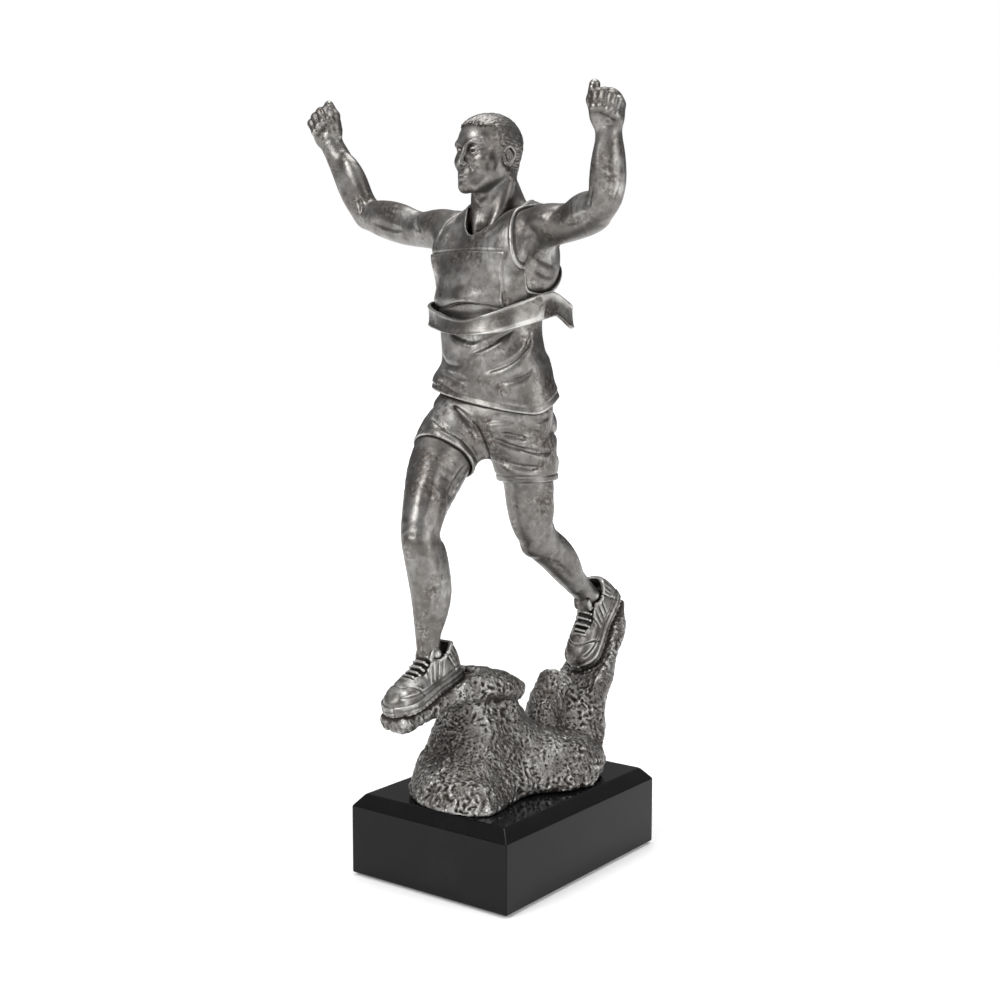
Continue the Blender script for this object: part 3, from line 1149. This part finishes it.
# points along the tape's middle, each with its half height
TAPE_PATH = [
    (-28.8, -4.0, 216.6, 3.4), (-29.4, -8.0, 215.6, 3.9), (-28.3, -11.5, 214.2, 4.0), (-24.3, -14.4, 213.0, 3.8),
    (-18.3, -17.8, 211.9, 3.5), (-11.5, -21.0, 210.5, 3.0), (-3.4, -23.2, 209.7, 2.9), (4.0, -22.4, 210.4, 3.5),
    (10.3, -19.8, 211.8, 4.2), (14.8, -16.9, 213.5, 4.5), (17.9, -12.6, 215.1, 4.8), (20.6, -7.4, 217.0, 5.0),
    (21.5, -2.2, 218.2, 4.8), (21.7, 1.4, 218.0, 4.3), (21.8, 4.6, 216.6, 4.4), (22.4, 7.6, 214.6, 4.9),
    (23.0, 10.0, 213.6, 4.9),
]


def make_tape():
    """A cast ribbon across the waist: a rounded strip with rolled edges, waving a little."""
    path = flow(TAPE_PATH, 10)
    run, heights = path[:, :3], path[:, 3]
    tangent = np.gradient(run, axis=0)
    tangent /= np.linalg.norm(tangent, axis=1)[:, None]
    out = np.cross(tangent, (0, 0, 1.0))
    out /= np.linalg.norm(out, axis=1)[:, None]
    ring = []
    for n in range(40):
        turn = 2 * math.pi * n / 40
        rise, run_out = math.sin(turn), math.cos(turn)
        ring.append((math.copysign(abs(rise) ** 0.35, rise), math.copysign(abs(run_out) ** 0.7, run_out)))
    points = []
    for i, (spot, share) in enumerate(zip(run, np.linspace(0, 1, len(run)))):
        taper = min(1.0, (min(i, len(run) - 1 - i) / 6) ** 0.5 * 0.16 + 0.84)
        tilt = 0.14 * math.sin(share * 11 + 0.5) - 0.22 * math.exp(-(((share - 0.42) / 0.16) ** 2))
        for h, w in ring:
            rolled = 0.35 * math.exp(-(((abs(h) - 0.9) / 0.14) ** 2))
            bulge = w * (0.62 + rolled) + 0.45 * h * h + tilt * h * 2.4 + 0.25 * math.sin(share * 29 + h)
            points.append(spot + out[i] * bulge + np.array([0, 0, 1.0]) * h * heights[i] * taper)
    rows, cols = len(run), len(ring)
    quads = []
    for i in range(rows - 1):
        for n in range(cols):
            m = (n + 1) % cols
            quads.append((i * cols + n, i * cols + m, (i + 1) * cols + m, (i + 1) * cols + n))
    tape = make_mesh("finish_tape_form", np.array(points).T.astype(REAL), np.array(quads))
    bm = bmesh.new()
    bm.from_mesh(tape.data)
    bmesh.ops.holes_fill(bm, edges=[e for e in bm.edges if e.is_boundary], sides=0)
    bmesh.ops.recalc_face_normals(bm, faces=bm.faces)
    for f in bm.faces:
        f.smooth = True
    bm.to_mesh(tape.data)
    bm.free()
    P, n = points_and_normals(tape.data)
    gap = sample(world, P + n * 1.5)
    mark(tape.data, "hollow", 0.8 * np.clip(1 - gap / 1.5, 0, 1))
    off_middle = np.abs(P[2] - np.interp(P[0], [p[0] for p in TAPE_PATH], [p[2] for p in TAPE_PATH]))
    mark(tape.data, "ridge", np.clip((off_middle - 2.6) / 1.2, 0, 0.6))
    return tape


# ---------------------------------------------------------------- rock

def rock_relief(P, n):
    """How far the rough casting stands proud of, or is pitted into, the rock's big shapes."""
    warp = np.stack([smooth_noise(P, 4.5, 60 + i) + 0.5 * smooth_noise(P, 2.2, 63 + i) for i in range(3)])
    Q = P + warp * REAL(1.5)
    flat = np.abs(n[2])
    low = np.clip((56 - P[2]) / 22, 0, 1)
    patch = 0.5 + 0.5 * np.clip(1.8 * smooth_noise(P, 11.0, 70), -1, 1)
    crust = 1 - 2.2 * np.abs(rough_noise(Q * np.array([[1], [1], [0.75]], REAL), 3.4, 80, 3))
    pits = np.clip(0.58 - cells(Q, 2.9, 71), 0, 1)
    small = np.clip(0.50 - cells(Q, 1.45, 72), 0, 1)
    combed = np.sin(Q[0] * 1.2 + Q[1] * 1.6 - Q[2] * 0.45 + 2.6 * smooth_noise(P, 7.0, 73))
    vary = np.clip(0.55 + 1.1 * smooth_noise(P, 6.5, 77), 0.15, 1.1)
    relief = 0.9 * rough_noise(P, 15.0, 74, 2) + 0.5 * smooth_noise(P, 6.0, 78)
    relief += (0.30 + 0.30 * low) * crust * vary
    relief -= 2.5 * pits * (0.25 + 0.75 * patch) * (0.5 + 0.5 * vary)
    relief -= 1.3 * small * (1.15 - 0.6 * patch) * (1.2 - vary)
    relief += 0.22 * combed * (1 - 0.7 * flat) * (1 - patch * 0.5)
    relief += 0.12 * rough_noise(P, 1.5, 76, 2)
    return relief


# where each shoe's bed in the rock starts and ends along the shoe, and its half width
BEDS = {"right": (-2, 45, 11), "left": (-3, 49, 12)}
PLINTH_TOP = 32.0


def shoe_bed(rock, side):
    """Cuts the rock flat under a shoe, so that the shoe stands on it and is not buried."""
    heel, forward, across, up = SHOES[side]
    start, end, half = BEDS[side]
    box = bpy.data.meshes.new("shoe_bed")
    bm = bmesh.new()
    bmesh.ops.create_cube(bm, size=1)
    for v in bm.verts:
        x = start if v.co.x < 0 else end
        y, z = v.co.y * 2 * half, 0.1 if v.co.z < 0 else 22
        v.co = Vector(heel + forward * x + across * y + up * z) * MM
    bmesh.ops.recalc_face_normals(bm, faces=bm.faces)
    bm.to_mesh(box)
    bm.free()
    tool = bpy.data.objects.new("shoe_bed", box)
    bpy.context.collection.objects.link(tool)
    cut = rock.modifiers.new("bed", "BOOLEAN")
    cut.operation, cut.solver, cut.object = "DIFFERENCE", "EXACT", tool
    graph = bpy.context.evaluated_depsgraph_get()
    mesh = bpy.data.meshes.new_from_object(rock.evaluated_get(graph))
    rock.modifiers.clear()
    rock.data = mesh
    bpy.data.objects.remove(tool)


def make_rock():
    source = frame["nodes"]["rock_base"]
    copy = bpy.data.objects.new("rock_base_form", source.data.copy())
    bpy.context.collection.objects.link(copy)
    for side in SHOES:
        shoe_bed(copy, side)
    remesh = copy.modifiers.new("even", "REMESH")
    remesh.mode = "VOXEL"
    remesh.voxel_size = ROCK_STEP * MM
    smooth = copy.modifiers.new("soften", "SMOOTH")
    smooth.factor, smooth.iterations = 0.5, 4
    graph = bpy.context.evaluated_depsgraph_get()
    mesh = bpy.data.meshes.new_from_object(copy.evaluated_get(graph))
    bpy.data.objects.remove(copy)
    P, n = points_and_normals(mesh)
    relief = sample(lambda both: rock_relief(both[:3], both[3:]), np.vstack([P, n]))
    near_shoe = np.minimum(sample(PIECE["right_shoe_form"], P), sample(PIECE["left_shoe_form"], P))
    settle = np.clip((near_shoe + 0.2) / 1.6, 0, 1)
    lift = relief * settle + 0.45 * settle
    standing = np.clip((P[2] - PLINTH_TOP - 0.3) / 1.2, 0, 1)
    lift = lift * (0.25 + 0.75 * standing)
    moved = P + n * lift.astype(REAL)
    moved[2] = np.maximum(moved[2], PLINTH_TOP - 0.05)
    quads = np.empty(len(mesh.loops), np.int32)
    mesh.loops.foreach_get("vertex_index", quads)
    quads = quads.reshape(-1, 4)
    levels = []
    soft = moved
    for step in range(6):
        soft = relaxed(soft, quads, 0.8)
        if step in (1, 5):
            levels.append(((moved - soft) * n).sum(0))
    hollow = np.clip(-(levels[0] * 1.9 + levels[1] * 0.9) + 0.22, 0, 1)
    hollow = np.maximum(hollow, 0.9 * (1 - np.clip(near_shoe / 2.5, 0, 1)))
    ridge = np.clip((levels[0] * 1.6 + levels[1] * 0.8) + 0.2, 0, 1)
    return make_mesh("rock_base_form", moved.astype(REAL), quads, {"hollow": hollow, "ridge": ridge})


# ---------------------------------------------------------------- plinth and its pad

def rounded_block(name, half_x, half_y, bottom, top, corner, slope_run=0.0, slope_drop=0.0, edge=0.35):
    """A rectangular block in millimetres with rounded upright corners and, if asked, a sloping shoulder."""
    def outline(inset):
        pts = []
        hx, hy, r = half_x - inset, half_y - inset, max(corner, 0.05)
        for quarter, (sx, sy) in enumerate(((1, 1), (-1, 1), (-1, -1), (1, -1))):
            for n in range(7):
                a = math.radians(90 * quarter + 15 * n)
                pts.append((sx * (hx - r) + r * math.cos(a), sy * (hy - r) + r * math.sin(a)))
        return pts

    layers = [(edge, bottom), (0.0, bottom + edge)]
    if slope_run:
        shoulder = top - slope_drop
        layers += [(0.0, shoulder - edge), (0.12, shoulder + edge * 0.6)]
        layers += [(slope_run - 0.5, top - 0.42), (slope_run + 0.25, top)]
    else:
        layers += [(0.0, top - edge), (edge, top)]
    bm = bmesh.new()
    rings = [[bm.verts.new((x * MM, y * MM, z * MM)) for x, y in outline(inset)] for inset, z in layers]
    for low, high in zip(rings, rings[1:]):
        for n in range(len(low)):
            m = (n + 1) % len(low)
            bm.faces.new((low[n], low[m], high[m], high[n]))
    bm.faces.new(rings[-1])
    bm.faces.new(rings[0][::-1])
    bmesh.ops.recalc_face_normals(bm, faces=bm.faces)
    sharp = [e for e in bm.edges if e.is_manifold and e.calc_face_angle() > 0.5]
    bmesh.ops.bevel(bm, geom=sharp, offset=0.22 * MM, segments=2, affect="EDGES", profile=0.5)
    mesh = bpy.data.meshes.new(name)
    bm.to_mesh(mesh)
    bm.free()
    obj = bpy.data.objects.new(name, mesh)
    bpy.context.collection.objects.link(obj)
    for p in mesh.polygons:
        p.use_smooth = True
    weighted = obj.modifiers.new("even normals", "WEIGHTED_NORMAL")
    weighted.keep_sharp = True
    return obj


# ---------------------------------------------------------------- materials

class Nodes:
    """Short hand for building a node material."""

    def __init__(self, name):
        self.material = bpy.data.materials.new(name)
        self.material.use_nodes = True
        self.tree = self.material.node_tree
        self.tree.nodes.clear()
        self.out = self.tree.nodes.new("ShaderNodeOutputMaterial")
        self.shader = self.tree.nodes.new("ShaderNodeBsdfPrincipled")
        self.link(self.shader.outputs[0], self.out.inputs[0])
        self.place = self.tree.nodes.new("ShaderNodeTexCoord").outputs["Object"]

    def link(self, a, b):
        self.tree.links.new(a, b)

    def put(self, socket, value):
        if hasattr(value, "links"):
            self.link(value, socket)
        else:
            socket.default_value = value

    def attribute(self, name):
        node = self.tree.nodes.new("ShaderNodeAttribute")
        node.attribute_name = name
        return node.outputs["Fac"]

    def noise(self, scale, detail=4.0, roughness=0.6, stretch=None, distortion=0.0):
        node = self.tree.nodes.new("ShaderNodeTexNoise")
        node.inputs["Scale"].default_value = scale
        node.inputs["Detail"].default_value = detail
        node.inputs["Roughness"].default_value = roughness
        node.inputs["Distortion"].default_value = distortion
        self.link(self.stretched(stretch), node.inputs["Vector"])
        return node.outputs["Fac"]

    def voronoi(self, scale):
        node = self.tree.nodes.new("ShaderNodeTexVoronoi")
        node.inputs["Scale"].default_value = scale
        self.link(self.place, node.inputs["Vector"])
        return node.outputs["Distance"]

    def stretched(self, stretch):
        if stretch is None:
            return self.place
        node = self.tree.nodes.new("ShaderNodeMapping")
        node.inputs["Scale"].default_value = stretch
        self.link(self.place, node.inputs["Vector"])
        return node.outputs[0]

    def maths(self, operation, a, b=0.0, clamp=False):
        node = self.tree.nodes.new("ShaderNodeMath")
        node.operation = operation
        node.use_clamp = clamp
        self.put(node.inputs[0], a)
        self.put(node.inputs[1], b)
        return node.outputs[0]

    def fit(self, value, low, high, out_low=0.0, out_high=1.0):
        node = self.tree.nodes.new("ShaderNodeMapRange")
        node.interpolation_type = "SMOOTHSTEP"
        self.put(node.inputs["Value"], value)
        for key, number in (("From Min", low), ("From Max", high), ("To Min", out_low), ("To Max", out_high)):
            node.inputs[key].default_value = number
        return node.outputs["Result"]

    def mix(self, share, a, b):
        node = self.tree.nodes.new("ShaderNodeMix")
        node.data_type = "RGBA"
        self.put(node.inputs["Factor"], share)
        for socket, value in ((node.inputs[6], a), (node.inputs[7], b)):
            self.put(socket, value if hasattr(value, "links") else (*value, 1.0))
        return node.outputs[2]

    def bump(self, height, strength, distance):
        node = self.tree.nodes.new("ShaderNodeBump")
        node.inputs["Strength"].default_value = strength
        node.inputs["Distance"].default_value = distance
        self.link(height, node.inputs["Height"])
        self.link(node.outputs[0], self.shader.inputs["Normal"])

    def set(self, **values):
        for key, value in values.items():
            self.put(self.shader.inputs[key.replace("_", " ")], value)
        return self.material


def antique_silver(name, rough=False, cloth=False):
    """Silver plate over a brown-black patina that stays in the hollows and is rubbed bright on the ridges."""
    m = Nodes(name)
    hollow, ridge = m.attribute("hollow"), m.attribute("ridge")
    mottle = m.noise(150, 5, 0.62)
    specks = m.noise(620, 3, 0.7)
    streaks = m.noise(420, 3, 0.6, (1.0, 1.0, 0.28))
    tone = m.mix(m.fit(mottle, 0.34, 0.66), (0.115, 0.107, 0.100), (0.262, 0.256, 0.246))
    stained = m.maths("MULTIPLY", m.fit(m.noise(75, 4, 0.65), 0.45, 0.62), m.fit(specks, 0.32, 0.60))
    tone = m.mix(m.maths("MULTIPLY", stained, 0.85), tone, (0.050, 0.037, 0.030))
    worn = m.maths("MULTIPLY", m.fit(m.noise(52, 3, 0.55), 0.53, 0.68), m.fit(streaks, 0.35, 0.60))
    tone = m.mix(m.maths("MULTIPLY", worn, 0.7), tone, (0.48, 0.475, 0.46))
    wet = m.maths("ADD", hollow, m.maths("MULTIPLY", m.maths("SUBTRACT", mottle, 0.5), 0.55))
    wet = m.maths("ADD", wet, m.maths("MULTIPLY", m.maths("SUBTRACT", streaks, 0.5), 0.25))
    dark = m.fit(wet, *((0.22, 0.60) if rough else (0.20, 0.62)))
    tone = m.mix(dark, tone, (0.016, 0.010, 0.008))
    rub = m.maths("ADD", ridge, m.maths("MULTIPLY", m.maths("SUBTRACT", mottle, 0.5), 0.9))
    bright = m.fit(rub, *((0.30, 0.85) if rough else (0.15, 0.75)))
    bright = m.maths("MULTIPLY", bright, m.maths("SUBTRACT", 1.0, dark, True))
    tone = m.mix(m.maths("MULTIPLY", bright, 0.8), tone, (0.50, 0.495, 0.475))
    grain = m.maths("MULTIPLY", m.maths("SUBTRACT", specks, 0.5), 0.16)
    roughness = m.maths("ADD", m.fit(dark, 0.0, 1.0, 0.38, 0.66), grain)
    height = m.maths("ADD", m.maths("MULTIPLY", specks, 0.5), m.maths("MULTIPLY", mottle, 0.5))
    if rough:
        height = m.maths("ADD", height, m.maths("MULTIPLY", m.voronoi(900), 0.8))
    if cloth:
        weave = m.noise(1500, 2, 0.5, (1.0, 1.0, 0.5))
        height = m.maths("ADD", height, m.maths("MULTIPLY", weave, 0.35))
    m.bump(height, *((0.6, 0.0011) if rough else (0.35, 0.0006)))
    return m.set(Base_Color=tone, Metallic=m.fit(dark, 0.0, 1.0, 0.92, 0.35), Roughness=roughness)


def black_stone():
    m = Nodes("polished_black_stone")
    grain = m.noise(900, 4, 0.7)
    cloud = m.noise(60, 3, 0.5)
    tone = m.mix(m.fit(grain, 0.60, 0.78), (0.0045, 0.0045, 0.005), (0.016, 0.016, 0.018))
    tone = m.mix(m.maths("MULTIPLY", m.fit(cloud, 0.45, 0.75), 0.4), tone, (0.010, 0.010, 0.011))
    polish = m.fit(m.noise(240, 3, 0.6), 0.35, 0.7, 0.035, 0.07)
    roughness = m.maths("ADD", polish, m.maths("MULTIPLY", grain, 0.02))
    m.bump(cloud, 0.03, 0.0002)
    return m.set(Base_Color=tone, Roughness=roughness, Specular_IOR_Level=0.16)


def felt():
    m = Nodes("pressed_felt")
    fibres = m.noise(1400, 5, 0.75, (1.0, 1.0, 2.0), 1.2)
    tufts = m.noise(260, 4, 0.6)
    tone = m.mix(m.fit(fibres, 0.35, 0.65), (0.010, 0.010, 0.011), (0.045, 0.044, 0.043))
    tone = m.mix(m.maths("MULTIPLY", tufts, 0.3), tone, (0.06, 0.06, 0.058))
    m.bump(fibres, 0.8, 0.0005)
    return m.set(Base_Color=tone, Roughness=m.fit(fibres, 0.2, 0.8, 0.85, 1.0), Sheen_Weight=0.4)


def turned_metal(name, low, high):
    """Machined steel or brass, with fine turning lines."""
    m = Nodes(name)
    lines = m.noise(2200, 2, 0.5, (0.15, 0.15, 1.0))
    worn = m.noise(300, 4, 0.6)
    tone = m.mix(m.fit(worn, 0.3, 0.7), low, high)
    m.bump(lines, 0.25, 0.0002)
    return m.set(Base_Color=tone, Metallic=1.0, Roughness=m.fit(lines, 0.3, 0.7, 0.24, 0.42))


SILVER = antique_silver("antique_silver")
SILVER_CLOTH = antique_silver("antique_silver_cloth", cloth=True)
SILVER_ROCK = antique_silver("antique_silver_rock", rough=True)
STONE = black_stone()
STEEL = turned_metal("turned_steel", (0.42, 0.42, 0.43), (0.58, 0.58, 0.6))
BRASS = turned_metal("turned_brass", (0.50, 0.35, 0.12), (0.68, 0.50, 0.20))
FELT = felt()


# ---------------------------------------------------------------- assembly

PIECE = {p["name"]: p["field"] for p in PIECES}


def fit_out(obj, material, slot, *nodes):
    obj.data.materials.clear()
    obj.data.materials.append(material)
    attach(obj, "root")
    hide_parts(*nodes)


for piece in PIECES:
    look = SILVER_CLOTH if piece["name"] in ("torso_form", "shorts_form") else SILVER
    fit_out(carve(piece), look, "antique_silver_resin", piece["name"].removesuffix("_form"))

fit_out(make_tape(), SILVER, "antique_silver_resin", "finish_tape")
fit_out(make_rock(), SILVER_ROCK, "antique_silver_resin", "rock_base")
lo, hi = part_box("plinth")
plinth = rounded_block("plinth_form", hi[0] / MM, hi[1] / MM, lo[2] / MM, hi[2] / MM, 0.6, 4.0, 4.7)
fit_out(plinth, STONE, "black_stone", "plinth")
lo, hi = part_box("base_pad")
pad = rounded_block("base_pad_form", hi[0] / MM, hi[1] / MM, lo[2] / MM, hi[2] / MM, 1.0, edge=0.2)
fit_out(pad, FELT, "felt", "base_pad")

for name, node in frame["nodes"].items():
    if node.hide_render:
        continue
    for held in node.material_slots:
        held.material = BRASS if "insert" in name else STEEL


# ---------------------------------------------------------------- stage, light and camera

def paper_sweep():
    """White paper that glows softly away from the object, as a lit sweep does."""
    m = Nodes("studio_paper")
    colour = (0.93, 0.93, 0.93)
    tone = m.mix(m.fit(m.noise(3, 2, 0.5), 0.3, 0.7), colour, tuple(c * 0.985 for c in colour))
    split = m.tree.nodes.new("ShaderNodeVectorMath")
    split.operation = "LENGTH"
    m.link(m.place, split.inputs[0])
    glow = m.fit(split.outputs["Value"], 0.12, 1.1, 0.12, 0.95)
    m.set(Emission_Color=(1, 1, 1, 1), Emission_Strength=glow)
    return m.set(Base_Color=tone, Roughness=0.6, Specular_IOR_Level=0.2)


bpy.ops.mesh.primitive_plane_add(size=12, location=(0, 0, 0))
floor = bpy.context.object
floor.name = "studio_floor"
floor.data.materials.append(paper_sweep())

def studio_world():
    """A light tent that is bright above and dim below, with plain white where the camera sees it."""
    studio = bpy.data.worlds.new("studio")
    studio.use_nodes = True
    nodes, link = studio.node_tree.nodes, studio.node_tree.links.new
    backdrop = nodes["Background"]
    backdrop.inputs["Color"].default_value = (1.0, 1.0, 1.0, 1)
    backdrop.inputs["Strength"].default_value = 1.0
    tent = nodes.new("ShaderNodeBackground")
    tent.inputs["Strength"].default_value = 0.62
    height = nodes.new("ShaderNodeSeparateXYZ")
    link(nodes.new("ShaderNodeTexCoord").outputs["Generated"], height.inputs[0])
    ramp = nodes.new("ShaderNodeValToRGB")
    below, above = ramp.color_ramp.elements
    below.color, above.color = (0.16, 0.16, 0.17, 1), (1.0, 1.0, 1.0, 1)
    below.position = 0.05
    link(height.outputs["Z"], ramp.inputs[0])
    link(ramp.outputs[0], tent.inputs["Color"])
    either = nodes.new("ShaderNodeMixShader")
    link(nodes.new("ShaderNodeLightPath").outputs["Is Camera Ray"], either.inputs[0])
    link(tent.outputs[0], either.inputs[1])
    link(backdrop.outputs[0], either.inputs[2])
    link(either.outputs[0], nodes["World Output"].inputs[0])
    return studio


scene = bpy.context.scene
scene.world = studio_world()
scene.view_settings.view_transform = "Standard"


def soft_light(name, place, target, size, power):
    data = bpy.data.lights.new(name, "AREA")
    data.shape, data.size, data.size_y, data.energy = "RECTANGLE", size[0], size[1], power
    lamp = bpy.data.objects.new(name, data)
    lamp.location = place
    lamp.rotation_euler = Vector(np.subtract(target, place)).to_track_quat("-Z", "Y").to_euler()
    scene.collection.objects.link(lamp)


MIDDLE = (0, 0, 0.16)
soft_light("key", (-0.25, -1.25, 0.95), MIDDLE, (0.7, 0.8), 15)
soft_light("fill", (1.25, -0.15, 0.55), MIDDLE, (0.6, 1.0), 7)
soft_light("top", (0.0, 0.15, 1.5), MIDDLE, (1.0, 1.0), 14)

camera_data = bpy.data.cameras.new("camera")
camera_data.lens, camera_data.sensor_width = 54, 36
camera = bpy.data.objects.new("camera", camera_data)
camera.location = (0.3436, -0.4621, 0.2108)
LOOKING_DOWN, TURN = math.radians(6.68), math.radians(36.9)
camera.rotation_euler = (math.pi / 2 - LOOKING_DOWN, 0, TURN)
scene.collection.objects.link(camera)
scene.camera = camera
